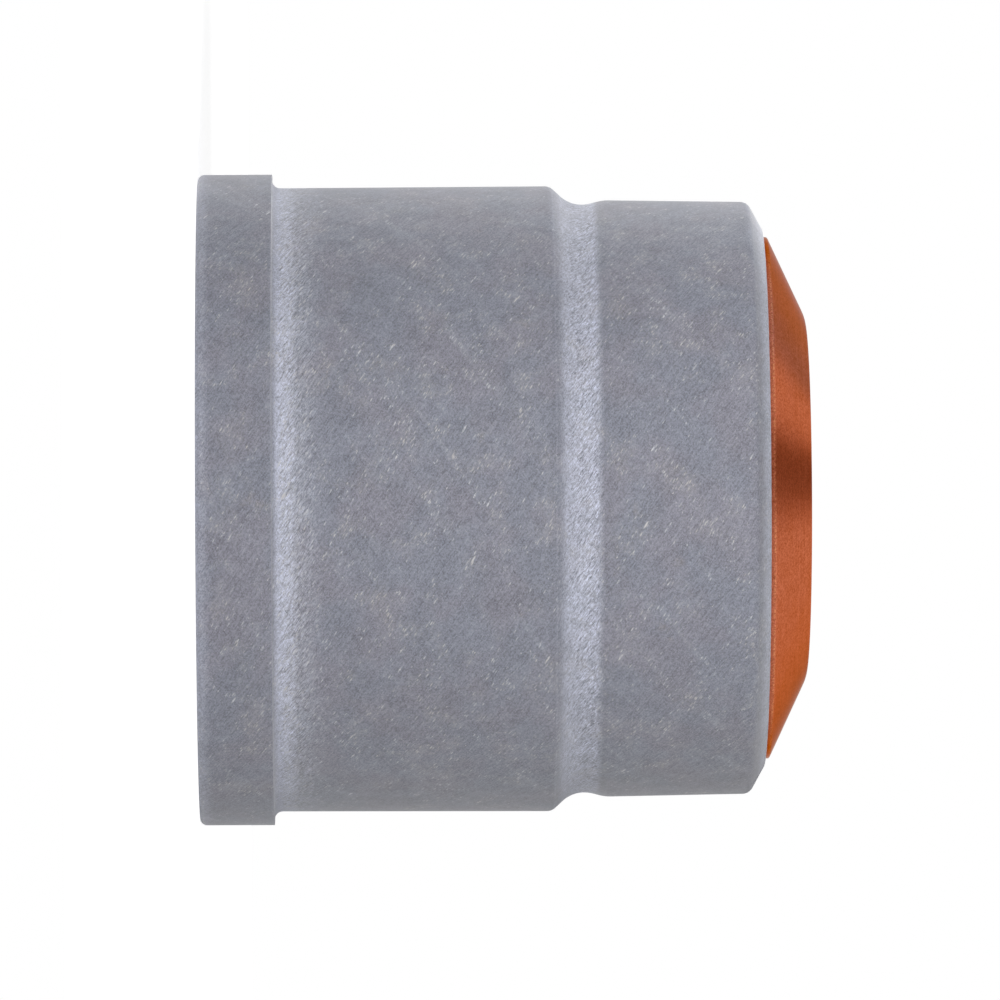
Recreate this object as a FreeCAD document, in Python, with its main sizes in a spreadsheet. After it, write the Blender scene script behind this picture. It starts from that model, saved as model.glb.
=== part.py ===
import FreeCAD, Part

import math
import os

import Sketcher

# Plasma torch retaining cap: a moulded insulating shell round a brass thread liner, with a turned
# copper nose pressed into its front. The cap stands on its rear rim, +Z along its axis, nose up.
# Radii are stacked outwards and inwards from the thread, heights are stacked up from the rear rim.

# Name, value in millimetres or degrees, and what it is.
SIZES = (
    ("thread_diameter", 22.0, "major diameter of the torch thread"),
    ("thread_pitch", 1.5, "pitch of the torch thread"),
    ("thread_length", 9.0, "liner's rear face to the shoulder that stops the nose"),
    ("liner_wall", 1.2, "thread root to the liner's outside"),
    ("liner_bevel", 0.25, "bevel round the liner's leading outer edge"),
    ("lead_in", 0.15, "how far the thread's mouth opens past the thread root"),
    ("skirt_step", 0.4, "rear counterbore over the liner's outside, radial"),
    ("skirt_depth", 6.0, "depth of the rear counterbore"),
    ("mouth_bevel", 0.45, "bevel inside the rear rim"),
    ("shell_wall", 2.165, "liner's outside to the barrel"),
    ("collar_step", 0.635, "collar over the barrel, radial"),
    ("collar_length", 3.46, "rear rim to the collar's front"),
    ("barrel_length", 12.77, "collar to the shoulder's sharp corner"),
    ("barrel_draft", 0.2, "barrel's slope, opening towards the shoulder"),
    ("waist_depth", 1.01, "shoulder down to the waist's sharp root"),
    ("waist_rise", 0.355, "waist's sharp root up to the front section"),
    ("flank_angle", 43.0, "slope of the waist's rear flank"),
    ("ramp_angle", 14.4, "slope of the waist's front ramp"),
    ("front_length", 6.67, "waist's lip to the start of the bevel"),
    ("front_draft", 0.9, "front section's slope, closing towards the nose"),
    ("front_wall", 1.61, "front section to the nose, radial"),
    ("face_land", 0.3, "flat ring between the front bevel and the nose"),
    ("bevel_angle", 61.0, "front bevel, measured from the axis"),
    ("rim_round", 0.42, "round of the rear rim's outer edge"),
    ("collar_round", 0.06, "round of the collar's front edge"),
    ("collar_fillet", 0.25, "fillet from the collar down to the barrel"),
    ("shoulder_round", 0.55, "round of the shoulder"),
    ("waist_fillet", 1.5, "fillet in the waist's root"),
    ("lip_round", 2.0, "round of the waist's lip"),
    ("bevel_round", 0.5, "round where the front bevel starts"),
    ("face_round", 0.16, "round where the front bevel ends"),
    ("joint_bevel", 0.05, "bevel of the shell's edge round the nose"),
    ("web_step", 1.0, "shell's inner web inside the liner's outside, radial"),
    ("web_thickness", 2.4, "shell's web, between the liner and the nose's head"),
    ("spigot_length", 3.2, "nose's spigot inside the liner"),
    ("spigot_wall", 2.0, "wall of the nose's spigot"),
    ("nose_rim", 0.15, "nose's straight rim in front of the shell"),
    ("nose_rim_round", 0.05, "round of that rim's edge"),
    ("cone_height", 1.85, "height of the nose's cone"),
    ("nose_face_diameter", 16.18, "nose's front face, to the sharp edge"),
    ("nose_face_round", 0.35, "round of the front face's outer edge"),
    ("nozzle_hole_diameter", 10.0, "hole that the nozzle passes through"),
    ("hole_length", 2.2, "straight length of the nozzle hole"),
    ("hole_bevel", 0.25, "bevel at the nozzle hole's front"),
    ("seat_angle", 60.0, "nozzle seat, measured from the axis"),
    ("port_floor", 1.5, "flat ring round the nozzle seat, where the ports start"),
    ("port_diameter", 1.2, "gas port"),
    ("port_angle", 27.0, "gas port's lean, measured from the axis"),
    ("port_runout", 0.35, "how far a port's drill passes the metal at each end"),
    ("port_count", 8, "gas ports round the nose"),
)

# Share of the pitch between a metric thread's major and minor radius.
THREAD_DEPTH_SHARE = 5 * math.sqrt(3) / 16

# Radii and heights worked out from the sizes, in the order in which they stack.
STATIONS = {
    "major_radius": "Sizes.thread_diameter / 2",
    "minor_radius": f"Stations.major_radius - {THREAD_DEPTH_SHARE} * Sizes.thread_pitch",
    "mouth_radius": "Stations.major_radius + Sizes.lead_in",
    "liner_radius": "Stations.major_radius + Sizes.liner_wall",
    "skirt_radius": "Stations.liner_radius + Sizes.skirt_step",
    "spigot_radius": "Stations.liner_radius - Sizes.web_step",
    "cavity_radius": "Stations.spigot_radius - Sizes.spigot_wall",
    "seat_radius": "Stations.cavity_radius - Sizes.port_floor",
    "hole_radius": "Sizes.nozzle_hole_diameter / 2",
    "barrel_radius": "Stations.liner_radius + Sizes.shell_wall",
    "collar_radius": "Stations.barrel_radius + Sizes.collar_step",
    "shoulder_radius": "Stations.barrel_radius + Sizes.barrel_length * tan(Sizes.barrel_draft)",
    "waist_radius": "Stations.shoulder_radius - Sizes.waist_depth",
    "lip_radius": "Stations.waist_radius + Sizes.waist_rise",
    "front_radius": "Stations.lip_radius - Sizes.front_length * tan(Sizes.front_draft)",
    "head_radius": "Stations.front_radius - Sizes.front_wall",
    "land_radius": "Stations.head_radius + Sizes.face_land",
    "nose_face_radius": "Sizes.nose_face_diameter / 2",
    "rear_height": "0",
    "collar_height": "Sizes.collar_length",
    "shoulder_height": "Stations.collar_height + Sizes.barrel_length",
    "waist_height": "Stations.shoulder_height + Sizes.waist_depth / tan(Sizes.flank_angle)",
    "lip_height": "Stations.waist_height + Sizes.waist_rise / tan(Sizes.ramp_angle)",
    "front_height": "Stations.lip_height + Sizes.front_length",
    "face_height": "Stations.front_height"
                   " + (Sizes.front_wall - Sizes.face_land) / tan(Sizes.bevel_angle)",
    "nose_rim_height": "Stations.face_height + Sizes.nose_rim",
    "tip_height": "Stations.nose_rim_height + Sizes.cone_height",
    "skirt_height": "Sizes.skirt_depth",
    "mouth_height": "Stations.skirt_height + Stations.mouth_radius - Stations.minor_radius",
    "thread_end_height": "Stations.skirt_height + Sizes.thread_length",
    "liner_end_height": "Stations.thread_end_height + Sizes.spigot_length",
    "web_height": "Stations.liner_end_height + Sizes.web_thickness",
    "hole_height": "Stations.tip_height - Sizes.hole_length",
    "seat_height": "Stations.hole_height"
                   " - (Stations.seat_radius - Stations.hole_radius) / tan(Sizes.seat_angle)",
    "port_in_height": "Stations.seat_height - Sizes.port_runout",
    "port_out_height": "Stations.tip_height + Sizes.port_runout",
    "port_circle_radius": "(Stations.hole_radius + Stations.nose_face_radius) / 2",
    "port_in_radius": "Stations.port_circle_radius"
                      " + (Stations.tip_height - Stations.port_in_height) * tan(Sizes.port_angle)",
    "port_out_radius": "Stations.port_circle_radius - Sizes.port_runout * tan(Sizes.port_angle)",
}

# Outlines of the turned forms: each corner's name, its radius and its height.
SHELL_OUTLINE = (
    ("rim_inside", "skirt_radius", "rear_height"),
    ("rim_outside", "collar_radius", "rear_height"),
    ("collar_edge", "collar_radius", "collar_height"),
    ("collar_root", "barrel_radius", "collar_height"),
    ("shoulder", "shoulder_radius", "shoulder_height"),
    ("waist_root", "waist_radius", "waist_height"),
    ("waist_lip", "lip_radius", "lip_height"),
    ("bevel_start", "front_radius", "front_height"),
    ("bevel_end", "land_radius", "face_height"),
    ("nose_pocket_mouth", "head_radius", "face_height"),
    ("nose_pocket_floor", "head_radius", "web_height"),
    ("web_front", "spigot_radius", "web_height"),
    ("web_rear", "spigot_radius", "liner_end_height"),
    ("liner_pocket_floor", "liner_radius", "liner_end_height"),
    ("liner_pocket_mouth", "liner_radius", "skirt_height"),
    ("skirt_floor", "skirt_radius", "skirt_height"),
)
LINER_OUTLINE = (
    ("mouth_outer", "mouth_radius", "skirt_height"),
    ("rear_edge", "liner_radius", "skirt_height"),
    ("front_edge", "liner_radius", "liner_end_height"),
    ("pocket_mouth", "spigot_radius", "liner_end_height"),
    ("pocket_floor", "spigot_radius", "thread_end_height"),
    ("thread_end", "minor_radius", "thread_end_height"),
    ("mouth_inner", "minor_radius", "mouth_height"),
)
NOSE_OUTLINE = (
    ("spigot_inside", "cavity_radius", "thread_end_height"),
    ("spigot_outside", "spigot_radius", "thread_end_height"),
    ("head_root", "spigot_radius", "web_height"),
    ("head_rear", "head_radius", "web_height"),
    ("cone_start", "head_radius", "nose_rim_height"),
    ("cone_end", "nose_face_radius", "tip_height"),
    ("hole_front", "hole_radius", "tip_height"),
    ("hole_rear", "hole_radius", "hole_height"),
    ("seat_edge", "seat_radius", "seat_height"),
    ("cavity_floor", "cavity_radius", "seat_height"),
)

START, END = 1, 2
AXES, ROOT_POINT = -1, 1
MATCH = 1e-4


def make_sheet(doc):
    """The driving dimensions, one named cell each."""
    sheet = doc.addObject("Spreadsheet::Sheet", "Sizes")
    for row, (alias, value, meaning) in enumerate(SIZES, start=1):
        sheet.set(f"A{row}", alias)
        sheet.set(f"B{row}", str(value))
        sheet.set(f"C{row}", meaning)
        sheet.setAlias(f"B{row}", alias)
    doc.recompute()
    return sheet


def make_stations(doc):
    """The radii and heights that follow from the driving dimensions."""
    stations = doc.addObject("App::VarSet", "Stations")
    for name in STATIONS:
        stations.addProperty("App::PropertyFloat", name)
    for name, expression in STATIONS.items():
        stations.setExpression(name, expression)
    doc.recompute()
    return stations


def new_body(doc, label):
    body = doc.addObject("PartDesign::Body", label)
    body.Label = label
    body.Placement = FreeCAD.Placement()
    return body


def origin_feature(body, role):
    return next(feature for feature in body.Origin.OriginFeatures if feature.Role == role)


def new_sketch(body, name):
    """An empty sketch on the plane through the axis: its x is the radius, its y the height."""
    sketch = body.newObject("Sketcher::SketchObject", name)
    sketch.AttachmentSupport = [(origin_feature(body, "XZ_Plane"), "")]
    sketch.MapMode = "FlatFace"
    return sketch


def station_point(doc, radius, height):
    stations = doc.Stations
    return FreeCAD.Vector(getattr(stations, radius), getattr(stations, height), 0)


def pin_start(sketch, line, corner, radius, height):
    """Hold a line's start at its radius and height."""
    start = sketch.Geometry[line].StartPoint
    for kind, value, station in (("DistanceX", start.x, radius), ("DistanceY", start.y, height)):
        if station == "rear_height":
            sketch.addConstraint(Sketcher.Constraint("PointOnObject", line, START, AXES))
            continue
        index = sketch.addConstraint(
            Sketcher.Constraint(kind, AXES, ROOT_POINT, line, START, value)
        )
        sketch.renameConstraint(index, f"{corner}_{station}")
        sketch.setExpression(f"Constraints[{index}]", f"Stations.{station}")


def close_outline(sketch, count):
    for line in range(count):
        following = (line + 1) % count
        sketch.addConstraint(Sketcher.Constraint("Coincident", line, END, following, START))


def turned(body, name, outline):
    """A solid of revolution about the cap's axis, from its outline's corners."""
    doc = body.Document
    sketch = new_sketch(body, f"{name}Outline")
    points = [station_point(doc, radius, height) for _, radius, height in outline]
    for start, end in zip(points, points[1:] + points[:1]):
        sketch.addGeometry(Part.LineSegment(start, end))
    close_outline(sketch, len(outline))
    for line, (corner, radius, height) in enumerate(outline):
        pin_start(sketch, line, corner, radius, height)
    revolution = body.newObject("PartDesign::Revolution", f"{name}Turned")
    revolution.Profile = sketch
    revolution.ReferenceAxis = (sketch, ["V_Axis"])
    revolution.Angle = 360
    doc.recompute()
    return revolution


def ring_edge(feature, radius, height):
    """Name of the circular edge at a station of the outline."""
    point = station_point(feature.Document, radius, height)
    for number, edge in enumerate(feature.Shape.Edges, start=1):
        curve = edge.Curve
        if not isinstance(curve, Part.Circle):
            continue
        if abs(curve.Radius - point.x) < MATCH and abs(curve.Center.z - point.y) < MATCH:
            return f"Edge{number}"
    raise ValueError(f"no edge at {radius}, {height}")


def dress_edge(body, base, kind, name, outline, corner, size):
    """A fillet or a chamfer on one corner of the outline, its size bound to the sheet."""
    radius, height = next(places for title, *places in outline if title == corner)
    feature = body.newObject(f"PartDesign::{kind}", name)
    feature.Base = (base, [ring_edge(base, radius, height)])
    feature.setExpression("Radius" if kind == "Fillet" else "Size", size)
    body.Document.recompute()
    return feature


def dress_edges(body, base, outline, work):
    for kind, name, corner, size in work:
        base = dress_edge(body, base, kind, name, outline, corner, size)
    return base


def make_shell(doc):
    """The moulded grey body: collar, drafted barrel, waist, drafted front and bevelled face."""
    body = new_body(doc, "insulating_body")
    base = turned(body, "Shell", SHELL_OUTLINE)
    # The ramp's free length past the waist's fillet limits the lip's round.
    ramp_left = (
        "(Sizes.waist_rise / sin(Sizes.ramp_angle)"
        " - Sizes.waist_fillet * tan((Sizes.flank_angle + Sizes.ramp_angle) / 2))"
    )
    lip_round = f"min(Sizes.lip_round; 0.95 * {ramp_left} / tan(Sizes.ramp_angle / 2))"
    dress_edges(body, base, SHELL_OUTLINE, (
        ("Fillet", "RimRound", "rim_outside", "Sizes.rim_round"),
        ("Fillet", "CollarRound", "collar_edge", "Sizes.collar_round"),
        ("Fillet", "CollarFillet", "collar_root", "Sizes.collar_fillet"),
        ("Fillet", "ShoulderRound", "shoulder", "Sizes.shoulder_round"),
        ("Fillet", "WaistFillet", "waist_root", "Sizes.waist_fillet"),
        ("Fillet", "LipRound", "waist_lip", lip_round),
        ("Fillet", "BevelRound", "bevel_start", "Sizes.bevel_round"),
        ("Fillet", "FaceRound", "bevel_end", "Sizes.face_round"),
        ("Chamfer", "JointBevel", "nose_pocket_mouth", "Sizes.joint_bevel"),
        ("Chamfer", "MouthBevel", "rim_inside", "Sizes.mouth_bevel"),
    ))
    return body


def make_liner(doc):
    """The brass sleeve that holds the torch thread; its bore is the thread's minor diameter."""
    body = new_body(doc, "thread_liner")
    base = turned(body, "Liner", LINER_OUTLINE)
    dress_edge(body, base, "Chamfer", "LinerBevel", LINER_OUTLINE, "front_edge", "Sizes.liner_bevel")
    return body


def make_nose(doc):
    """The turned copper nose: spigot, head, cone, nozzle seat and leaning gas ports."""
    body = new_body(doc, "copper_nose")
    base = turned(body, "Nose", NOSE_OUTLINE)
    base = dress_edges(body, base, NOSE_OUTLINE, (
        ("Fillet", "NoseRimRound", "cone_start", "Sizes.nose_rim_round"),
        ("Fillet", "NoseFaceRound", "cone_end", "Sizes.nose_face_round"),
        ("Chamfer", "HoleBevel", "hole_front", "Sizes.hole_bevel"),
    ))
    port = drill_port(body)
    pattern = body.newObject("PartDesign::PolarPattern", "PortRing")
    pattern.Originals = [port]
    pattern.Axis = (origin_feature(body, "Z_Axis"), [""])
    pattern.Angle = 360
    pattern.setExpression("Occurrences", "Sizes.port_count")
    body.Tip = pattern
    doc.recompute()
    return body


def drill_port(body):
    """One gas port, turned about its own leaning axis from half of its lengthwise section."""
    doc = body.Document
    before = body.Shape.Volume
    sketch = new_sketch(body, "PortSection")
    inner = station_point(doc, "port_in_radius", "port_in_height")
    outer = station_point(doc, "port_out_radius", "port_out_height")
    along = (outer - inner).normalize()
    aside = FreeCAD.Vector(along.y, -along.x, 0) * (doc.Sizes.port_diameter / 2)
    points = (inner, outer, outer + aside, inner + aside)
    for start, end in zip(points, points[1:] + points[:1]):
        sketch.addGeometry(Part.LineSegment(start, end))
    centre, top, side, bottom = range(len(points))
    axis = sketch.addGeometry(Part.LineSegment(inner, outer), True)
    close_outline(sketch, len(points))
    sketch.addConstraint(Sketcher.Constraint("Coincident", axis, START, centre, START))
    sketch.addConstraint(Sketcher.Constraint("Coincident", axis, END, centre, END))
    sketch.addConstraint(Sketcher.Constraint("Perpendicular", top, centre))
    sketch.addConstraint(Sketcher.Constraint("Perpendicular", bottom, centre))
    sketch.addConstraint(Sketcher.Constraint("Parallel", side, centre))
    pin_start(sketch, centre, "port_inner", "port_in_radius", "port_in_height")
    pin_start(sketch, top, "port_outer", "port_out_radius", "port_out_height")
    width = sketch.addConstraint(
        Sketcher.Constraint("Distance", top, START, top, END, aside.Length)
    )
    sketch.setExpression(f"Constraints[{width}]", "Sizes.port_diameter / 2")
    port = body.newObject("PartDesign::Groove", "GasPort")
    port.Profile = sketch
    port.ReferenceAxis = (sketch, ["Axis0"])
    port.Angle = 360
    doc.recompute()
    if port.Shape.Volume >= before:
        raise ValueError("the gas port cuts nothing")
    return port


def check(doc, bodies):
    """Every feature is sound, and each sub-part is one valid solid."""
    for item in doc.Objects:
        if {"Invalid", "Error"} & set(item.State):
            raise ValueError(f"{item.Name} failed: {item.State}")
    for body in bodies:
        shape = body.Shape
        if shape.isNull() or not shape.isValid() or len(shape.Solids) != 1:
            raise ValueError(f"{body.Label} is not one valid solid")
        print(f"{body.Label}: {shape.Volume:.1f} mm3, {len(shape.Faces)} faces")


def main():
    doc = FreeCAD.newDocument("RetainingCap")
    make_sheet(doc)
    make_stations(doc)
    bodies = (make_shell(doc), make_liner(doc), make_nose(doc))
    doc.recompute()
    check(doc, bodies)
    os.makedirs("parts", exist_ok=True)
    for body in bodies:
        body.Shape.exportStep(f"parts/{body.Label}.step")


main()
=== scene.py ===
import math
import bpy
from mathutils import Matrix, Vector


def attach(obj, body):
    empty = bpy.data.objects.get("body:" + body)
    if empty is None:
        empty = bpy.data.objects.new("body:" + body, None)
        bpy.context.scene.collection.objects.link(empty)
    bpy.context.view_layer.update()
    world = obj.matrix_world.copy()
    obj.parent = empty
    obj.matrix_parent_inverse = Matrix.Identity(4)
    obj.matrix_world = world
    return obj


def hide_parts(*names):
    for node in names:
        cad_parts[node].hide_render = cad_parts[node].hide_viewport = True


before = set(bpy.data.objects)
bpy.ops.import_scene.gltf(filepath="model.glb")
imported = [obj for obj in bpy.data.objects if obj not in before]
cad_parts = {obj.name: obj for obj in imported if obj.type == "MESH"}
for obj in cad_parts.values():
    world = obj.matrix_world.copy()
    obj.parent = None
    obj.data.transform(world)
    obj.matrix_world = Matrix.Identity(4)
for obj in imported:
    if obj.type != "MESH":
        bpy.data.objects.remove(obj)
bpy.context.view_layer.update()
print("frame loaded:", ", ".join(sorted(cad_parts)))

scene = bpy.context.scene
mm = 0.001  # sizes below are in millimetres, the scene is in metres


class Wire:
    # one output of a node tree, so that sums on it are written as sums
    def __init__(self, plan, socket):
        self.plan = plan
        self.socket = socket

    def other(self, name):
        return Wire(self.plan, self.socket.node.outputs[name])

    def __add__(self, value):
        return self.plan.sum("ADD", self, value)

    def __radd__(self, value):
        return self.plan.sum("ADD", value, self)

    def __sub__(self, value):
        return self.plan.sum("SUBTRACT", self, value)

    def __rsub__(self, value):
        return self.plan.sum("SUBTRACT", value, self)

    def __mul__(self, value):
        return self.plan.sum("MULTIPLY", self, value)

    def __rmul__(self, value):
        return self.plan.sum("MULTIPLY", value, self)

    def __truediv__(self, value):
        return self.plan.sum("DIVIDE", self, value)


class Plan:
    # a node tree while it is drawn
    def __init__(self, tree):
        self.tree = tree

    def node(self, kind, settings=None, inputs=None, output=0):
        made = self.tree.nodes.new(kind)
        for name, value in (settings or {}).items():
            if name == "items":
                while len(made.index_switch_items) < value:
                    made.index_switch_items.new()
            else:
                setattr(made, name, value)
        for name, value in (inputs or {}).items():
            if isinstance(value, Wire):
                self.tree.links.new(made.inputs[name], value.socket)
            else:
                made.inputs[name].default_value = value
        return Wire(self, made.outputs[output])

    def sum(self, operation, first, second=0.0):
        return self.node("ShaderNodeMath", {"operation": operation}, {0: first, 1: second})

    def vector(self, operation, first, second=(0.0, 0.0, 0.0)):
        return self.node("ShaderNodeVectorMath", {"operation": operation}, {0: first, 1: second})

    def scaled(self, first, factor):
        return self.node("ShaderNodeVectorMath", {"operation": "SCALE"}, {0: first, "Scale": factor})

    def shifted(self, place, by):
        # another part of a pattern
        return self.vector("ADD", place, (by, by * 0.7, by * 0.3))

    def wound(self, place, angle):
        # turned round the axis
        return self.node(
            "ShaderNodeVectorRotate", {"rotation_type": "Z_AXIS"}, {"Vector": place, "Angle": angle}
        )

    def fromAxis(self, place):
        flat = self.vector("MULTIPLY", place, (1.0, 1.0, 0.0))
        return self.node("ShaderNodeVectorMath", {"operation": "LENGTH"}, {0: flat}, output="Value")

    def blend(self, factor, first, second, how="MIX"):
        # colours only
        settings = {"data_type": "RGBA", "blend_type": how}
        return self.node("ShaderNodeMix", settings, {0: factor, 6: first, 7: second}, output=2)

    def ease(self, value, start, end, low=0.0, high=1.0):
        return self.node(
            "ShaderNodeMapRange",
            {"interpolation_type": "SMOOTHSTEP"},
            {"Value": value, "From Min": start, "From Max": end, "To Min": low, "To Max": high},
        )

    def rise(self, value, band):
        return self.ease(value, band["start"], band["full"])

    def fall(self, value, band):
        return self.ease(value, band["end"], band["fade"])

    def ramp(self, value, band):
        return self.rise(value, band) * self.fall(value, band)

    def drawnOut(self, place, look):
        # moved to another part of the pattern, and stretched along the height
        if "shift" in look:
            place = self.shifted(place, look["shift"])
        if "stretch" in look:
            place = self.vector("MULTIPLY", place, (1.0, 1.0, look["stretch"]))
        return place

    def pattern(self, place, look):
        # noise, cut to patches where the look says between which values
        blobs = self.node(
            "ShaderNodeTexNoise",
            {"noise_dimensions": "3D"},
            {
                "Vector": self.drawnOut(place, look), "Scale": 1.0 / look["size"], "Detail": look["detail"],
                "Roughness": look["rough"], "Distortion": look.get("distortion", 0.0),
            },
        )
        return self.ease(blobs, look["start"], look["end"]) if "start" in look else blobs

    def cells(self, place, size):
        # one random value for each small cell
        grid = {"Vector": place, "Scale": 1.0 / size}
        cell = self.node("ShaderNodeTexVoronoi", {"feature": "F1"}, grid, output="Color")
        return self.node("ShaderNodeSeparateColor", None, {0: cell}, output="Red")

    def inCrowd(self, value, look, crowd):
        # passes few values, and more of them in a crowd
        return self.ease(value - (look["few"] - crowd * look["crowd"]), 0.0, look["soft"])

    def marks(self, place, look, crowd):
        # round spots in some cells
        grid = {"Vector": self.drawnOut(place, look), "Scale": 1.0 / look["size"]}
        cell = self.node("ShaderNodeTexVoronoi", {"feature": "F1"}, grid, output="Distance")
        chance = self.node("ShaderNodeSeparateColor", None, {0: cell.other("Color")}, output="Green")
        return self.ease(cell, look["edge"], look["full"]) * self.inCrowd(chance, look, crowd)

    def strokes(self, place, look, crowd):
        # the tips of a stretched pattern
        return self.inCrowd(self.pattern(place, look), look, crowd)

    def bump(self, height, relief):
        inputs = {"Strength": relief["strength"], "Distance": relief["depth"], "Height": height}
        return self.node("ShaderNodeBump", None, inputs)


def geometryPlan(name, sizes):
    # a Geometry Nodes tree with one named input for each size
    tree = bpy.data.node_groups.new(name, "GeometryNodeTree")
    for size in sizes:
        tree.interface.new_socket(size, in_out="INPUT", socket_type="NodeSocketFloat")
    tree.interface.new_socket("Geometry", in_out="OUTPUT", socket_type="NodeSocketGeometry")
    plan = Plan(tree)
    entry = plan.node("NodeGroupInput")
    return plan, {size: entry.other(size) for size in sizes}


def finishPlan(plan, geometry, material, creaseAngle):
    # smooth faces with crisp edges where they meet at an angle
    angle = plan.node("GeometryNodeInputMeshEdgeAngle")
    crease = math.radians(creaseAngle)
    sharp = plan.node("FunctionNodeCompare", {"operation": "GREATER_THAN"}, {0: angle, 1: crease})
    smooth = plan.node(
        "GeometryNodeSetShadeSmooth", {"domain": "FACE"}, {"Geometry": geometry, "Shade Smooth": True}
    )
    creased = plan.node(
        "GeometryNodeSetShadeSmooth",
        {"domain": "EDGE"},
        {"Geometry": smooth, "Selection": sharp, "Shade Smooth": False},
    )
    real = plan.node("GeometryNodeRealizeInstances", None, {"Geometry": creased})
    dressed = plan.node("GeometryNodeSetMaterial", None, {"Geometry": real, "Material": material})
    last = plan.tree.nodes.new("NodeGroupOutput")
    plan.tree.links.new(last.inputs["Geometry"], dressed.socket)


def outline(plan, corners):
    # a closed outline from its corners: radius, height, round, steps in the round
    # a profile's y points down once it is carried round the axis
    count = len(corners)
    index = plan.node("GeometryNodeInputIndex")

    def switch(kind, values):
        inputs = {number + 1: value for number, value in enumerate(values)}
        settings = {"data_type": kind, "items": count}
        return plan.node("GeometryNodeIndexSwitch", settings, {"Index": index, **inputs})

    spots = [
        plan.node("ShaderNodeCombineXYZ", None, {"X": corner[0], "Y": 0.0 - corner[1]}) for corner in corners
    ]
    place = switch("VECTOR", spots)
    size = switch("FLOAT", [corner[2] for corner in corners])
    number = switch("INT", [corner[3] for corner in corners])
    points = plan.node("GeometryNodePoints", None, {"Count": count, "Position": place})
    line = plan.node("GeometryNodePointsToCurves", None, {"Points": points})
    closed = plan.node("GeometryNodeSetSplineCyclic", None, {"Geometry": line, "Cyclic": True})
    return plan.node(
        "GeometryNodeFilletCurve",
        {"mode": "POLY"},
        {"Curve": closed, "Radius": size, "Count": number, "Limit Radius": False},
    )


def turned(plan, corners, segments):
    # an outline carried once round the Z axis
    hub = 1.0 * mm  # radius of the small circle that carries the outline
    moved = plan.node(
        "GeometryNodeSetPosition", None, {"Geometry": outline(plan, corners), "Offset": (-hub, 0.0, 0.0)}
    )
    circle = {"Resolution": segments, "Radius": hub}
    rail = plan.node("GeometryNodeCurvePrimitiveCircle", {"mode": "RADIUS"}, circle)
    upright = plan.node("GeometryNodeSetCurveNormal", {"mode": "Z_UP"}, {"Curve": rail})
    swept = plan.node("GeometryNodeCurveToMesh", None, {"Curve": upright, "Profile Curve": moved})
    return plan.node("GeometryNodeFlipFaces", None, {"Mesh": swept})


def build(name, plan, values):
    # runs the tree with these sizes, and keeps its result as a plain mesh
    blank = bpy.data.objects.new(name, bpy.data.meshes.new(name))
    scene.collection.objects.link(blank)
    modifier = blank.modifiers.new(name, "NODES")
    modifier.node_group = plan.tree
    items = plan.tree.interface.items_tree
    sockets = {item.name: item.identifier for item in items if item.in_out == "INPUT"}
    for size, value in values.items():
        modifier[sockets[size]] = value
    graph = bpy.context.evaluated_depsgraph_get()
    made = blank.evaluated_get(graph)
    mesh = bpy.data.meshes.new_from_object(made, preserve_all_data_layers=True, depsgraph=graph)
    blank.modifiers.clear()
    blank.data = mesh
    mesh.name = name
    print(name, "built,", len(mesh.polygons), "faces")
    return blank


def inMetres(sizes, plain=()):
    return {name: value if name in plain else value * mm for name, value in sizes.items()}


def surfacePlan(name):
    material = bpy.data.materials.new(name)
    material.use_nodes = True
    material.node_tree.nodes.clear()
    plan = Plan(material.node_tree)
    place = plan.node("ShaderNodeTexCoord", output="Object")
    return material, plan, plan.scaled(place, 1.0 / mm)


def finishSurface(plan, inputs):
    shader = plan.node("ShaderNodeBsdfPrincipled", None, inputs)
    last = plan.tree.nodes.new("ShaderNodeOutputMaterial")
    plan.tree.links.new(last.inputs["Surface"], shader.socket)


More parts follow.
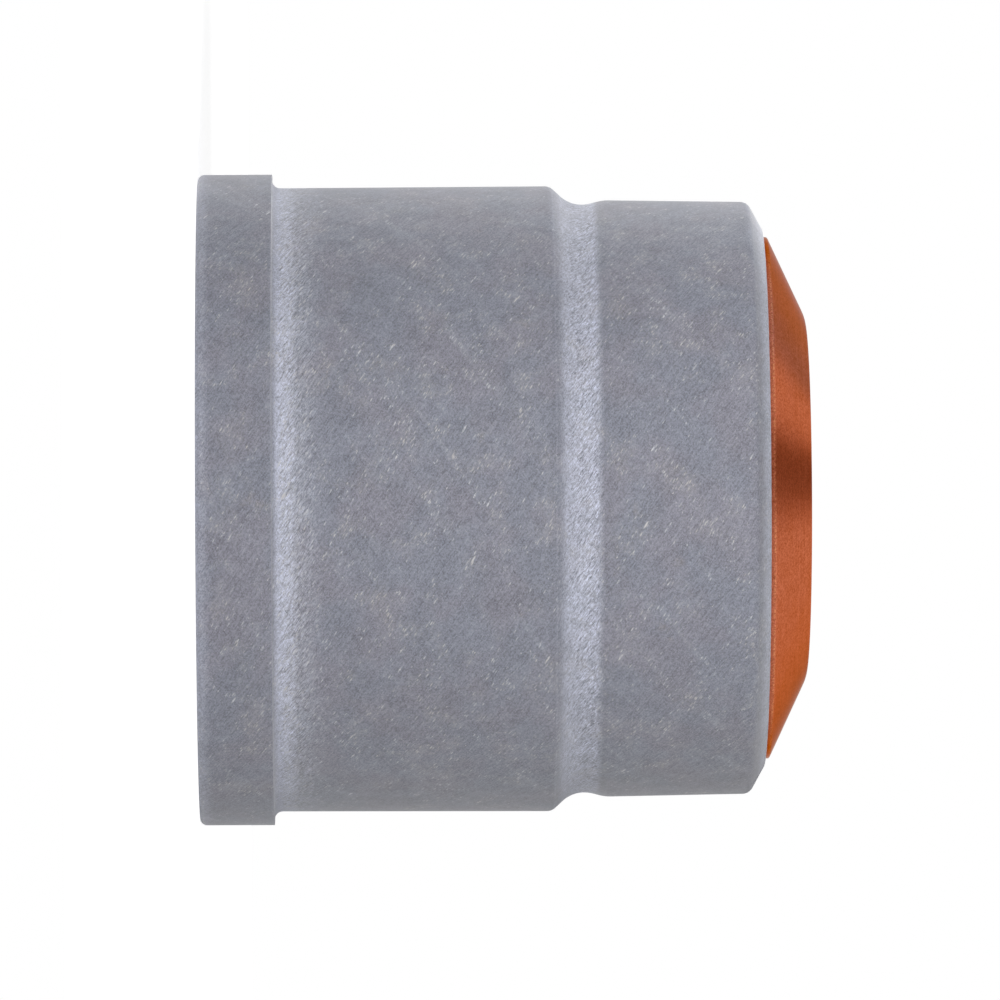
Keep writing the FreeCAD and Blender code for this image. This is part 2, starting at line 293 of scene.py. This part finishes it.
# a pattern is noise: the width, detail and roughness of its blobs, where it starts and ends if it is cut to
# patches, how far it is stretched along the height, and the shift to a part that nothing else uses
mouldedGrey = {
    "cool": (0.241, 0.252, 0.300),
    "warm": (0.251, 0.250, 0.294),
    "tan": (0.33, 0.29, 0.25),
    # the frosted bands' colour, which also carries the painted light on the rear rim and the bevel
    "frostAndPaintedLight": (0.53, 0.55, 0.65),
    "fleck": (0.62, 0.625, 0.65),
    "buff": (0.60, 0.57, 0.545),
    "pit": (0.08, 0.085, 0.10),
    "roughness": 0.62,
    "frostRoughness": 0.2,
    "specular": 0.4,
    "sheen": 0.4,  # fine dust in its pores
    "sheenRoughness": 0.5,
    "slant": 0.10,  # radians round the axis for each millimetre along it
    "mottle": {"size": 2.6, "detail": 3.0, "rough": 0.55, "start": 0.38, "end": 0.62},
    "smudge": {"size": 1.8, "detail": 4.0, "rough": 0.7, "start": 0.62, "end": 0.80, "shift": 31.0},
    "smudgeShare": 0.35,
    "fineSize": 0.055,
    "middling": {"size": 0.12, "detail": 2.0, "rough": 0.7, "stretch": 0.34},
    "broad": {"size": 1.3, "detail": 4.0, "rough": 0.62, "shift": 17.0},
    "fineGrain": 0.47, "midGrain": 0.85, "broadGrain": 0.50, "gritGrain": 0.7,
    # flecks gather in clusters, and along streaks that wind round the body
    "clusters": {"size": 1.5, "detail": 5.0, "rough": 0.75, "start": 0.48, "end": 0.66, "shift": 5.0},
    "streaks": {
        "size": 1.5, "detail": 5.0, "rough": 0.72, "start": 0.52, "end": 0.70, "stretch": 0.24,
        "distortion": 0.3,
    },
    "crowdShare": 0.10,
    "tailCrowd": 1.1,
    # round marks: width, stretch, where a mark fades out and is full, and how few cells hold one
    "flecks": {
        "size": 0.16, "stretch": 0.8, "edge": 0.44, "full": 0.16, "few": 0.93, "crowd": 0.75, "soft": 0.10,
    },
    "chips": {
        "size": 0.30, "stretch": 0.7, "edge": 0.34, "full": 0.14, "few": 0.985, "crowd": 0.10, "soft": 0.03,
        "shift": 7.0,
    },
    "fade": {"size": 0.22, "detail": 1.0, "rough": 0.6, "start": 0.35, "end": 0.70},
    "fadeLow": 0.35,
    "fleckShare": 0.90,
    # thin marks: as a pattern, cut where it passes a height that falls in a crowd
    "hairs": {
        "size": 0.085, "detail": 0.0, "rough": 0.5, "stretch": 0.28, "few": 0.86, "crowd": 0.09, "soft": 0.07,
    },
    "pits": {
        "size": 0.08, "detail": 0.0, "rough": 0.5, "stretch": 0.35, "few": 0.86, "crowd": 0.07, "soft": 0.07,
        "shift": 9.0,
    },
    "hairShare": 0.7,
    "pitShare": 0.7,
    "scratches": {"size": 0.16, "detail": 1.0, "rough": 0.5, "start": 0.70, "end": 0.80, "stretch": 0.04},
    "scratchShare": 0.10,
    # frosted bands, and painted light on the rear rim and before the lip: where each starts, is full, begins
    # to fade and ends, in millimetres from the rear rim
    "step": {"start": 3.28, "full": 3.78, "fade": 3.95, "end": 5.0},
    "stepTail": {"start": 3.68, "full": 3.98, "fade": 4.05, "end": 6.2},
    "stepGrit": {"start": 3.55, "full": 3.95},
    "waist": {"start": 16.24, "full": 16.80, "fade": 18.02, "end": 18.48},
    "waistGrit": {"start": 16.6, "full": 17.6, "low": 0.5},
    "waistLine": {"start": 16.19, "full": 16.27, "fade": 16.27, "end": 16.35},
    "lip": {"start": 25.45, "full": 25.88},
    # painted light: a faint lift before the lip, where the bevel's round is shaded
    "paintedBevelLight": {"start": 24.8, "full": 25.4},
    # painted light: the rear rim is made paler to stand in for light bounced up from the floor
    "rim": {"end": 0.75, "fade": 0.1},
    "rimEdge": {"end": 0.12, "fade": 0.04},
    "outside": {"start": 12.8, "full": 13.0},  # radius past which the bands show
    # how strong each of them is
    "bandShare": 0.95, "tailShare": 0.38, "waistShare": 0.72, "waistClear": 0.6, "lineShare": 0.16,
    # the last three of these are painted light: a lift before the lip and on the rear rim
    "lipShare": 0.64, "paintedBevelLightShare": 0.06, "rimShare": 0.4, "rimEdgeShare": 0.5,
    "grit": {"size": 0.055, "stretch": 0.6, "shift": 3.0},
    "clump": {"size": 0.10, "detail": 2.0, "rough": 0.65, "start": 0.3, "end": 0.7, "stretch": 0.4},
    "gritShare": 0.6, "clumpShare": 0.4, "speckleShare": 0.75,
    "relief": {"fine": 0.2, "middling": 0.8, "grit": 0.8, "pit": 1.0, "strength": 0.5, "depth": 0.02 * mm},
}


def makeMouldedGrey(look):
    material, plan, place = surfacePlan("mouldedGrey")
    height = plan.node("ShaderNodeSeparateXYZ", None, {0: place}, output="Z")
    slanted, counter = (plan.wound(place, height * slant) for slant in (look["slant"], -look["slant"]))

    # filler in the moulding: soft clouds and a fine grain of slightly different greys
    base = plan.blend(plan.pattern(place, look["mottle"]), (*look["cool"], 1.0), (*look["warm"], 1.0))
    smudge = plan.pattern(place, look["smudge"])
    base = plan.blend(smudge * look["smudgeShare"], base, (*look["tan"], 1.0))
    fine = plan.cells(place, look["fineSize"])
    middling = plan.pattern(slanted, look["middling"])
    broad = plan.pattern(place, look["broad"])
    grain = (
        (fine - 0.5) * look["fineGrain"] + (middling - 0.5) * look["midGrain"]
        + (broad - 0.5) * look["broadGrain"] + 1.0
    )

    # flecks, chips, hairs and pits
    clusters = plan.pattern(place, look["clusters"])
    streaks = plan.pattern(counter, look["streaks"])
    tail = plan.ramp(height, look["stepTail"])
    crowd = plan.sum("MAXIMUM", plan.sum("MAXIMUM", clusters, streaks), tail * look["tailCrowd"])
    fade = plan.pattern(place, look["fade"]) * (1.0 - look["fadeLow"]) + look["fadeLow"]
    flecks = plan.marks(slanted, look["flecks"], crowd) * fade
    flecks = plan.sum("MAXIMUM", flecks, plan.marks(slanted, look["chips"], crowd))
    hairs = plan.strokes(slanted, look["hairs"], crowd)
    pits = plan.strokes(counter, look["pits"], crowd)
    scratches = plan.pattern(slanted, look["scratches"])

    # frosted bands that tumbling did not reach, smooth at their rear edge and gritty towards the front, and
    # painted light that lifts the rear rim and the bevel
    outside = plan.rise(plan.fromAxis(place), look["outside"])
    step = plan.sum("MAXIMUM", plan.ramp(height, look["step"]), tail * look["tailShare"])
    waist = plan.ramp(height, look["waist"])
    line = plan.ramp(height, look["waistLine"]) * look["lineShare"]
    lip = plan.rise(height, look["lip"]) * look["lipShare"]
    # painted light: a faint lift before the lip, where the bevel's round is shaded
    lip = lip + plan.rise(height, look["paintedBevelLight"]) * look["paintedBevelLightShare"]
    # painted light: a paler rear rim stands in for light bounced up from the floor
    rim = plan.fall(height, look["rim"]) * look["rimShare"]
    rim = rim + plan.fall(height, look["rimEdge"]) * look["rimEdgeShare"]
    bands = plan.sum("MAXIMUM", step, waist * look["waistShare"]) * outside
    stepGrit = plan.sum("MAXIMUM", step, tail) * plan.rise(height, look["stepGrit"])
    waistGrit = look["waistGrit"]
    waistGrit = waist * plan.ease(height, waistGrit["start"], waistGrit["full"], waistGrit["low"])
    gritty = plan.sum("MAXIMUM", stepGrit, waistGrit) * outside
    grit = plan.cells(plan.drawnOut(slanted, look["grit"]), look["grit"]["size"])
    speckle = grit * look["gritShare"] + plan.pattern(slanted, look["clump"]) * look["clumpShare"]
    frostAndPaintedLight = bands * look["bandShare"] + (speckle - 0.5) * gritty * look["speckleShare"]
    # this mix holds the frosted bands and the painted light on the rear rim and the bevel
    frostAndPaintedLight = frostAndPaintedLight + line * outside + lip + rim
    base = plan.blend(plan.sum("MAXIMUM", frostAndPaintedLight, 0.0), base, (*look["frostAndPaintedLight"], 1.0))
    grain = grain + (speckle - 0.5) * gritty * look["gritGrain"]
    level = plan.node("ShaderNodeCombineXYZ", None, {"X": grain, "Y": grain, "Z": grain})
    base = plan.blend(1.0, base, level, "MULTIPLY")

    hue = plan.blend(clusters, (*look["fleck"], 1.0), (*look["buff"], 1.0))
    base = plan.blend(crowd * look["crowdShare"], base, hue)
    marks = plan.sum("MAXIMUM", flecks * look["fleckShare"], hairs * look["hairShare"])
    marks = marks * (1.0 - waist * look["waistClear"]) + scratches * look["scratchShare"]
    base = plan.blend(marks, base, hue)
    base = plan.blend(pits * look["pitShare"], base, (*look["pit"], 1.0))

    relief = look["relief"]
    height = (
        fine * relief["fine"] + middling * relief["middling"] + speckle * gritty * relief["grit"]
        - pits * relief["pit"]
    )
    finishSurface(plan, {
        "Base Color": base,
        "Roughness": bands * look["frostRoughness"] + look["roughness"],
        "Normal": plan.bump(height, relief),
        "Specular IOR Level": look["specular"],
        "Sheen Weight": look["sheen"],
        "Sheen Roughness": look["sheenRoughness"],
    })
    return material


turnedCopper = {
    "bright": (0.71, 0.215, 0.118),
    "deep": (0.39, 0.093, 0.040),
    # colour of the corner's bright dots: partly wear, partly a painted highlight
    "wearAndPaintedGlint": (0.95, 0.42, 0.19),
    "edge": (0.80, 0.42, 0.26),
    "roughness": 0.32,
    "roughnessSpread": 0.12,
    "anisotropy": 1.0,
    "quarterTurn": 0.25,  # stretches highlights along the axis
    "lines": {"size": 0.07, "detail": 3.0, "rough": 0.7},
    "broad": {"size": 0.4, "detail": 2.0, "rough": 0.6},
    "patches": {"size": 1.2, "detail": 4.0, "rough": 0.65},
    "specks": {"size": 0.12, "detail": 2.0, "rough": 0.7},
    "gritSize": 0.05,
    "shade": {
        "lines": 0.9, "broad": 0.3, "patches": 0.4, "specks": 1.3, "grit": 0.7, "middle": 0.52, "most": 1.3,
    },
    # a bright dotted line at the foot of the cone: partly wear, partly a painted highlight off the rounded
    # rim
    "corner": {"start": 26.08, "full": 26.15, "fade": 26.15, "end": 26.24},
    "dots": {"size": 0.09, "detail": 1.0, "rough": 0.5, "start": 0.42, "end": 0.66},
    # strength of the corner's bright dots, partly wear and partly a painted highlight
    "wearAndPaintedGlintShare": 0.5,
    "relief": {"strength": 0.5, "depth": 0.006 * mm},
}


def makeTurnedCopper(look):
    material, plan, place = surfacePlan("turnedCopper")
    height = plan.node("ShaderNodeSeparateXYZ", None, {0: place}, output="Z")
    rings = plan.node("ShaderNodeCombineXYZ", None, {"X": plan.fromAxis(place), "Y": height})
    lines = plan.pattern(rings, look["lines"])
    broad = plan.pattern(rings, look["broad"])
    patches = plan.pattern(place, look["patches"])
    grit = plan.cells(place, look["gritSize"])
    specks = plan.pattern(place, look["specks"])
    share = look["shade"]
    shade = (
        (lines - 0.5) * share["lines"] + (broad - 0.5) * share["broad"] + (patches - 0.5) * share["patches"]
        + (specks - 0.5) * share["specks"] + (grit - 0.5) * share["grit"] + share["middle"]
    )
    shade = plan.sum("MINIMUM", plan.sum("MAXIMUM", shade, 0.0), share["most"])
    base = plan.blend(shade, (*look["deep"], 1.0), (*look["bright"], 1.0))
    # painted highlight: the corner's bright dots stand partly for a glint off the rounded rim, partly for
    # wear
    wearAndPaintedGlint = plan.ramp(height, look["corner"]) * plan.pattern(place, look["dots"])
    base = plan.blend(wearAndPaintedGlint * look["wearAndPaintedGlintShare"], base, (*look["wearAndPaintedGlint"], 1.0))
    finishSurface(plan, {
        "Base Color": base,
        "Metallic": 1.0,
        "Roughness": (patches - 0.5) * look["roughnessSpread"] + look["roughness"],
        "Normal": plan.bump(lines, look["relief"]),
        "Specular Tint": (*look["edge"], 1.0),
        "Anisotropic": look["anisotropy"],
        "Anisotropic Rotation": look["quarterTurn"],
    })
    return material


turnedBrass = {
    "bright": (0.80, 0.56, 0.24),
    "deep": (0.55, 0.36, 0.13),
    "roughness": 0.28,
    "roughnessSpread": 0.2,
    "lines": {"size": 0.06, "detail": 3.0, "rough": 0.7},
    "patches": {"size": 2.0, "detail": 3.0, "rough": 0.6},
    "shade": {"start": 0.3, "end": 0.7},
    "relief": {"strength": 0.4, "depth": 0.006 * mm},
}


def makeTurnedBrass(look):
    material, plan, place = surfacePlan("turnedBrass")
    height = plan.node("ShaderNodeSeparateXYZ", None, {0: place}, output="Z")
    rings = plan.node("ShaderNodeCombineXYZ", None, {"X": plan.fromAxis(place), "Y": height})
    lines = plan.pattern(rings, look["lines"])
    patches = plan.pattern(place, look["patches"])
    shade = plan.ease((lines + patches) * 0.5, look["shade"]["start"], look["shade"]["end"])
    finishSurface(plan, {
        "Base Color": plan.blend(shade, (*look["deep"], 1.0), (*look["bright"], 1.0)),
        "Metallic": 1.0,
        "Roughness": (patches - 0.5) * look["roughnessSpread"] + look["roughness"],
        "Normal": plan.bump(lines, look["relief"]),
    })
    return material


greyFinish = makeMouldedGrey(mouldedGrey)
copperFinish = makeTurnedCopper(turnedCopper)
brassFinish = makeTurnedBrass(turnedBrass)
print("finishes made")


shell = {
    "skirtRadius": 12.6, "mouthRadius": 13.05, "mouthHeight": 0.45,
    "collarRadius": 14.995, "collarHeight": 3.415, "rimRound": 0.3,
    "barrelRadius": 14.365, "collarFillet": 0.38,
    "shoulderRadius": 14.4096, "shoulderHeight": 16.185, "shoulderRound": 0.55,
    "waistRadius": 13.3996, "waistHeight": 17.2681, "waistFillet": 1.5,
    "lipRadius": 13.7546, "lipHeight": 18.6507, "lipRound": 2.0,
    "frontRadius": 13.6504, "frontHeight": 25.2807, "bevelRound": 0.5,
    "landRadius": 12.4104, "faceHeight": 25.9680, "faceRound": 0.16,
    "headRadius": 12.0404, "jointBevel": 0.05, "webHeight": 20.6,
    "spigotRadius": 11.2, "linerEnd": 18.2, "linerRadius": 12.2, "skirtHeight": 6.0,
}
shellSegments = 256
shellCrease = 30.0


def shellCorners(s):
    return (
        (s["mouthRadius"], 0.0, 0.0, 1),
        (s["collarRadius"], 0.0, s["rimRound"], 10),
        (s["collarRadius"], s["collarHeight"], 0.0, 1),
        (s["barrelRadius"], s["collarHeight"], s["collarFillet"], 8),
        (s["shoulderRadius"], s["shoulderHeight"], s["shoulderRound"], 8),
        (s["waistRadius"], s["waistHeight"], s["waistFillet"], 14),
        (s["lipRadius"], s["lipHeight"], s["lipRound"], 6),
        (s["frontRadius"], s["frontHeight"], s["bevelRound"], 10),
        (s["landRadius"], s["faceHeight"], s["faceRound"], 5),
        (s["headRadius"] + s["jointBevel"], s["faceHeight"], 0.0, 1),
        (s["headRadius"], s["faceHeight"] - s["jointBevel"], 0.0, 1),
        (s["headRadius"], s["webHeight"], 0.0, 1),
        (s["spigotRadius"], s["webHeight"], 0.0, 1),
        (s["spigotRadius"], s["linerEnd"], 0.0, 1),
        (s["linerRadius"], s["linerEnd"], 0.0, 1),
        (s["linerRadius"], s["skirtHeight"], 0.0, 1),
        (s["skirtRadius"], s["skirtHeight"], 0.0, 1),
        (s["skirtRadius"], s["mouthHeight"], 0.0, 1),
    )


plan, size = geometryPlan("turnedShell", shell)
finishPlan(plan, turned(plan, shellCorners(size), shellSegments), greyFinish, shellCrease)
shellPiece = build("mouldedShell", plan, inMetres(shell))
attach(shellPiece, "root")
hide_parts("insulating_body")


liner = {
    "rootRadius": 11.0, "minorRadius": 10.1881, "mouthRadius": 11.15, "linerRadius": 12.2,
    "spigotRadius": 11.2, "rearHeight": 6.0, "threadEnd": 15.0, "frontHeight": 18.2, "bevel": 0.25,
    "reliefDepth": 1.0,
    "pitch": 1.5, "turns": 5.2, "threadStart": 6.45, "crest": 0.19, "foot": 1.3, "bite": 0.1,
}
linerSegments = 192
linerCrease = 25.0
threadSegments = 96
threadEnds = {"share": 0.06, "thin": 0.05}  # how much of it runs out at each end, and how thin it gets


def linerCorners(s):
    return (
        (s["mouthRadius"], s["rearHeight"], 0.0, 1),
        (s["linerRadius"], s["rearHeight"], 0.0, 1),
        (s["linerRadius"], s["frontHeight"] - s["bevel"], 0.0, 1),
        (s["linerRadius"] - s["bevel"], s["frontHeight"], 0.0, 1),
        (s["spigotRadius"], s["frontHeight"], 0.0, 1),
        (s["spigotRadius"], s["threadEnd"], 0.0, 1),
        (s["rootRadius"], s["threadEnd"], 0.0, 1),
        (s["rootRadius"], s["rearHeight"] + (s["mouthRadius"] - s["rootRadius"]), 0.0, 1),
    )


def threadRidge(plan, s):
    # one ridge wound up the bore, right-handed, thinned out at both ends
    depth = s["rootRadius"] - s["minorRadius"]
    section = outline(plan, (
        (s["bite"], s["foot"] * -0.5, 0.0, 1),
        (s["bite"], s["foot"] * 0.5, 0.0, 1),
        (depth * -1.0, s["crest"] * 0.5, 0.0, 1),
        (depth * -1.0, s["crest"] * -0.5, 0.0, 1),
    ))
    path = plan.node("GeometryNodeCurveSpiral", None, {
        "Resolution": threadSegments, "Rotations": s["turns"], "Start Radius": s["rootRadius"],
        "End Radius": s["rootRadius"], "Height": s["turns"] * s["pitch"], "Reverse": True,
    })
    raised = plan.node("GeometryNodeSetPosition", None, {
        "Geometry": path, "Offset": plan.node("ShaderNodeCombineXYZ", None, {"Z": s["threadStart"]}),
    })
    upright = plan.node("GeometryNodeSetCurveNormal", {"mode": "Z_UP"}, {"Curve": raised})
    along = plan.node("GeometryNodeSplineParameter")
    share, thin = threadEnds["share"], threadEnds["thin"]
    fade = plan.ease(along, 0.0, share, thin) * plan.ease(along, 1.0, 1.0 - share, thin)
    wound = plan.node("GeometryNodeCurveToMesh", None, {
        "Curve": upright, "Profile Curve": section, "Scale": fade, "Fill Caps": True,
    })
    return plan.node("GeometryNodeFlipFaces", None, {"Mesh": wound})


plan, size = geometryPlan("threadedLiner", liner)
body = turned(plan, linerCorners(size), linerSegments)
joined = plan.node("GeometryNodeJoinGeometry")
plan.tree.links.new(joined.socket.node.inputs[0], body.socket)
plan.tree.links.new(joined.socket.node.inputs[0], threadRidge(plan, size).socket)
finishPlan(plan, joined, brassFinish, linerCrease)
linerPiece = build("threadedLiner", plan, inMetres(liner, plain=("turns",)))
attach(linerPiece, "root")
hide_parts("thread_liner")


nose = {
    "cavityRadius": 9.2, "spigotRadius": 11.2, "rearHeight": 15.0, "webHeight": 20.6, "headRadius": 12.03,
    "rimHeight": 26.1980, "rimRound": 0.1, "faceRadius": 8.26, "tipHeight": 27.9680, "faceRound": 1.8,
    "holeRadius": 5.0, "holeBevel": 0.25, "holeRear": 25.7680, "seatRadius": 7.7, "seatHeight": 24.2092,
    "portRadius": 0.6, "portCircle": 6.63, "portLean": 27.0, "portOverrun": 1.0,
}
noseSegments = 256
noseCrease = 25.0
portCount = 8
portSides = 40


def noseCorners(s):
    return (
        (s["cavityRadius"], s["rearHeight"], 0.0, 1),
        (s["spigotRadius"], s["rearHeight"], 0.0, 1),
        (s["spigotRadius"], s["webHeight"], 0.0, 1),
        (s["headRadius"], s["webHeight"], 0.0, 1),
        (s["headRadius"], s["rimHeight"], s["rimRound"], 5),
        (s["faceRadius"], s["tipHeight"], s["faceRound"], 8),
        (s["holeRadius"] + s["holeBevel"], s["tipHeight"], 0.0, 1),
        (s["holeRadius"], s["tipHeight"] - s["holeBevel"], 0.0, 1),
        (s["holeRadius"], s["holeRear"], 0.0, 1),
        (s["seatRadius"], s["seatHeight"], 0.0, 1),
        (s["cavityRadius"], s["seatHeight"], 0.0, 1),
    )


def portDrills(plan, s):
    # leaning drills set round the axis, each centred on the line of its port
    rise = s["tipHeight"] - s["seatHeight"] + s["portOverrun"] * 2.0
    lean = s["portLean"]
    slope = plan.sum("TANGENT", lean)
    middle = (s["tipHeight"] + s["seatHeight"]) * 0.5
    reach = s["portCircle"] + (s["tipHeight"] - middle) * slope
    drill = plan.node("GeometryNodeMeshCylinder", {"fill_type": "NGON"}, {
        "Vertices": portSides, "Side Segments": 1, "Radius": s["portRadius"],
        "Depth": rise / plan.sum("COSINE", lean),
    })
    index = plan.node("GeometryNodeInputIndex")
    turn = index * (2.0 * math.pi / portCount)
    place = plan.node("ShaderNodeCombineXYZ", None, {
        "X": reach * plan.sum("COSINE", turn), "Y": reach * plan.sum("SINE", turn), "Z": middle,
    })
    points = plan.node("GeometryNodePoints", None, {"Count": portCount, "Position": place})
    angles = plan.node("ShaderNodeCombineXYZ", None, {"Y": lean * -1.0, "Z": turn})
    rotation = plan.node("FunctionNodeEulerToRotation", None, {0: angles})
    drills = plan.node("GeometryNodeInstanceOnPoints", None, {
        "Points": points, "Instance": drill, "Rotation": rotation,
    })
    return plan.node("GeometryNodeRealizeInstances", None, {"Geometry": drills})


plan, size = geometryPlan("turnedNose", nose)
bored = plan.node("GeometryNodeMeshBoolean", {"operation": "DIFFERENCE", "solver": "EXACT"}, {
    "Mesh 1": turned(plan, noseCorners(size), noseSegments), "Mesh 2": portDrills(plan, size),
})
finishPlan(plan, bored, copperFinish, noseCrease)
noseValues = inMetres(nose, plain=("portLean",))
noseValues["portLean"] = math.radians(nose["portLean"])
nosePiece = build("turnedNose", plan, noseValues)
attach(nosePiece, "root")
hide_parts("copper_nose")


floor = {"radius": 0.25, "sides": 128, "colour": (0.92, 0.92, 0.92), "lift": 0.7}


def makeFloor(look):
    mesh = bpy.data.meshes.new("floor")
    ring = [
        (look["radius"] * math.cos(2 * math.pi * k / look["sides"]),
         look["radius"] * math.sin(2 * math.pi * k / look["sides"]), 0.0)
        for k in range(look["sides"])
    ]
    mesh.from_pydata(ring, [], [list(range(look["sides"]))])
    material = bpy.data.materials.new("paleFloor")
    material.use_nodes = True
    material.node_tree.nodes.clear()
    plan = Plan(material.node_tree)
    path = plan.node("ShaderNodeLightPath")
    matt = plan.node("ShaderNodeBsdfDiffuse", None, {"Color": (*look["colour"], 1.0)})
    white = plan.node("ShaderNodeEmission", None, {"Color": (1.0, 1.0, 1.0, 1.0), "Strength": look["lift"]})
    lifted = plan.node("ShaderNodeAddShader", None, {0: matt, 1: white})
    seen = plan.sum("MAXIMUM", path.other("Is Camera Ray"), path.other("Is Transmission Ray"))
    seen = plan.sum("MAXIMUM", seen, path.other("Is Glossy Ray"))
    last = plan.tree.nodes.new("ShaderNodeOutputMaterial")
    mixed = plan.node("ShaderNodeMixShader", None, {0: seen, 1: matt, 2: lifted})
    plan.tree.links.new(last.inputs["Surface"], mixed.socket)
    mesh.materials.append(material)
    piece = bpy.data.objects.new("floor", mesh)
    scene.collection.objects.link(piece)
    return piece


makeFloor(floor)

studio = {
    "fill": 0.18,
    # the metal mirrors a white room with a dark gap and dimmer ends; angles round the cap, up from the front
    "gap": {"start": -11.0, "full": 4.5, "fade": 10.5, "end": 20.5, "depth": 0.66},
    "above": {"start": 28.0, "full": 38.5, "depth": 0.40},
    "crown": {"start": 38.0, "full": 58.0, "depth": -0.16},
    "below": {"start": -40.0, "full": -88.0, "depth": 0.45},
    "level": {"start": 0.35, "full": 0.10, "depth": 0.25},
    "card": (1.0, 0.74, 0.55),
    "sky": (0.97, 1.15, 1.65),
}


def inRadians(angles):
    return {name: value if name == "depth" else math.radians(value) for name, value in angles.items()}


def makeWorld(look):
    world = bpy.data.worlds.new("studio")
    scene.world = world
    world.use_nodes = True
    world.node_tree.nodes.clear()
    plan = Plan(world.node_tree)
    path = plan.node("ShaderNodeLightPath")
    seen = plan.sum("MAXIMUM", path.other("Is Camera Ray"), path.other("Is Transmission Ray"))
    around = plan.node("ShaderNodeTexCoord", output="Generated")
    direction = plan.node("ShaderNodeSeparateXYZ", None, {0: around})
    angle = plan.sum("ARCTAN2", 0.0 - direction, 1.0 - direction.other("Y"))
    gap, above, crown, below = (inRadians(look[name]) for name in ("gap", "above", "crown", "below"))
    dark = plan.ramp(angle, gap)
    dim = dark * gap["depth"]
    high = plan.ease(angle, above["start"], above["full"])
    dim = dim + high * above["depth"]
    dim = dim + plan.ease(angle, crown["start"], crown["full"]) * crown["depth"]
    dim = dim + plan.ease(angle, below["start"], below["full"]) * below["depth"]
    level = look["level"]
    upright = plan.ease(direction.other("Z"), level["full"], level["start"])
    dim = dim * upright + (1.0 - upright) * level["depth"]
    mirrored = path.other("Is Glossy Ray") * (1.0 - dim)
    matte = 1.0 - plan.sum("MAXIMUM", seen, path.other("Is Glossy Ray"))
    tint = upright * path.other("Is Glossy Ray")
    hue = plan.blend(dark * tint, (1.0, 1.0, 1.0, 1.0), (*look["card"], 1.0))
    hue = plan.blend(high * tint, hue, (*look["sky"], 1.0))
    backdrop = plan.node("ShaderNodeBackground", None, {
        "Color": hue, "Strength": plan.sum("MAXIMUM", seen, mirrored) + matte * look["fill"],
    })
    last = plan.tree.nodes.new("ShaderNodeOutputWorld")
    plan.tree.links.new(last.inputs["Surface"], backdrop.socket)


makeWorld(studio)

lamps = {
    "back": {"direction": (-0.707, 0.707, 0.0), "distance": 0.8, "size": 0.35, "level": 1.02},
    "side": {"direction": (-0.342, -0.940, 0.0), "distance": 0.8, "size": 0.35, "level": 0.66},
    "front": {"direction": (0.423, -0.906, 0.5), "distance": 0.8, "size": 0.35, "level": 0.34},
}


def makeLamp(name, look, aim):
    data = bpy.data.lights.new(name, "AREA")
    data.shape = "DISK"
    data.size = look["size"]
    # a lamp of level 1 lights what faces it as much as a white world does
    data.energy = look["level"] * math.pi ** 2 * look["distance"] ** 2
    lamp = bpy.data.objects.new(name, data)
    direction = Vector(look["direction"]).normalized()
    lamp.location = aim + direction * look["distance"]
    lamp.rotation_mode = "QUATERNION"
    lamp.rotation_quaternion = direction.to_track_quat("Z", "Y")
    lamp.visible_camera = False
    lamp.visible_glossy = False
    scene.collection.objects.link(lamp)
    return lamp


middle = Vector((0.0, 0.0, 14.0 * mm))
for name, look in lamps.items():
    makeLamp(name, look, middle)

camera = {
    "lens": 423.7, "sensor": 36.0, "distance": 543.0, "height": 7.34, "aimHeight": 13.865, "side": 0.05,
    "roll": -0.25, "near": 0.05, "far": 5.0,  # the last two in metres
}


def makeCamera(look):
    data = bpy.data.cameras.new("camera")
    data.lens = look["lens"]
    data.sensor_width = look["sensor"]
    data.clip_start = look["near"]
    data.clip_end = look["far"]
    eye = Vector((look["side"], -look["distance"], look["height"])) * mm
    target = Vector((look["side"], 0.0, look["aimHeight"])) * mm
    back = (eye - target).normalized()
    up = Vector((-1.0, 0.0, 0.0))
    right = up.cross(back).normalized()
    up = back.cross(right)
    turn = Matrix((right, up, back)).transposed().to_4x4()
    piece = bpy.data.objects.new("camera", data)
    piece.matrix_world = Matrix.Translation(eye) @ turn @ Matrix.Rotation(math.radians(look["roll"]), 4, "Z")
    scene.collection.objects.link(piece)
    scene.camera = piece
    return piece


makeCamera(camera)
scene.view_settings.view_transform = "Standard"
print("stage, lamps and camera set")
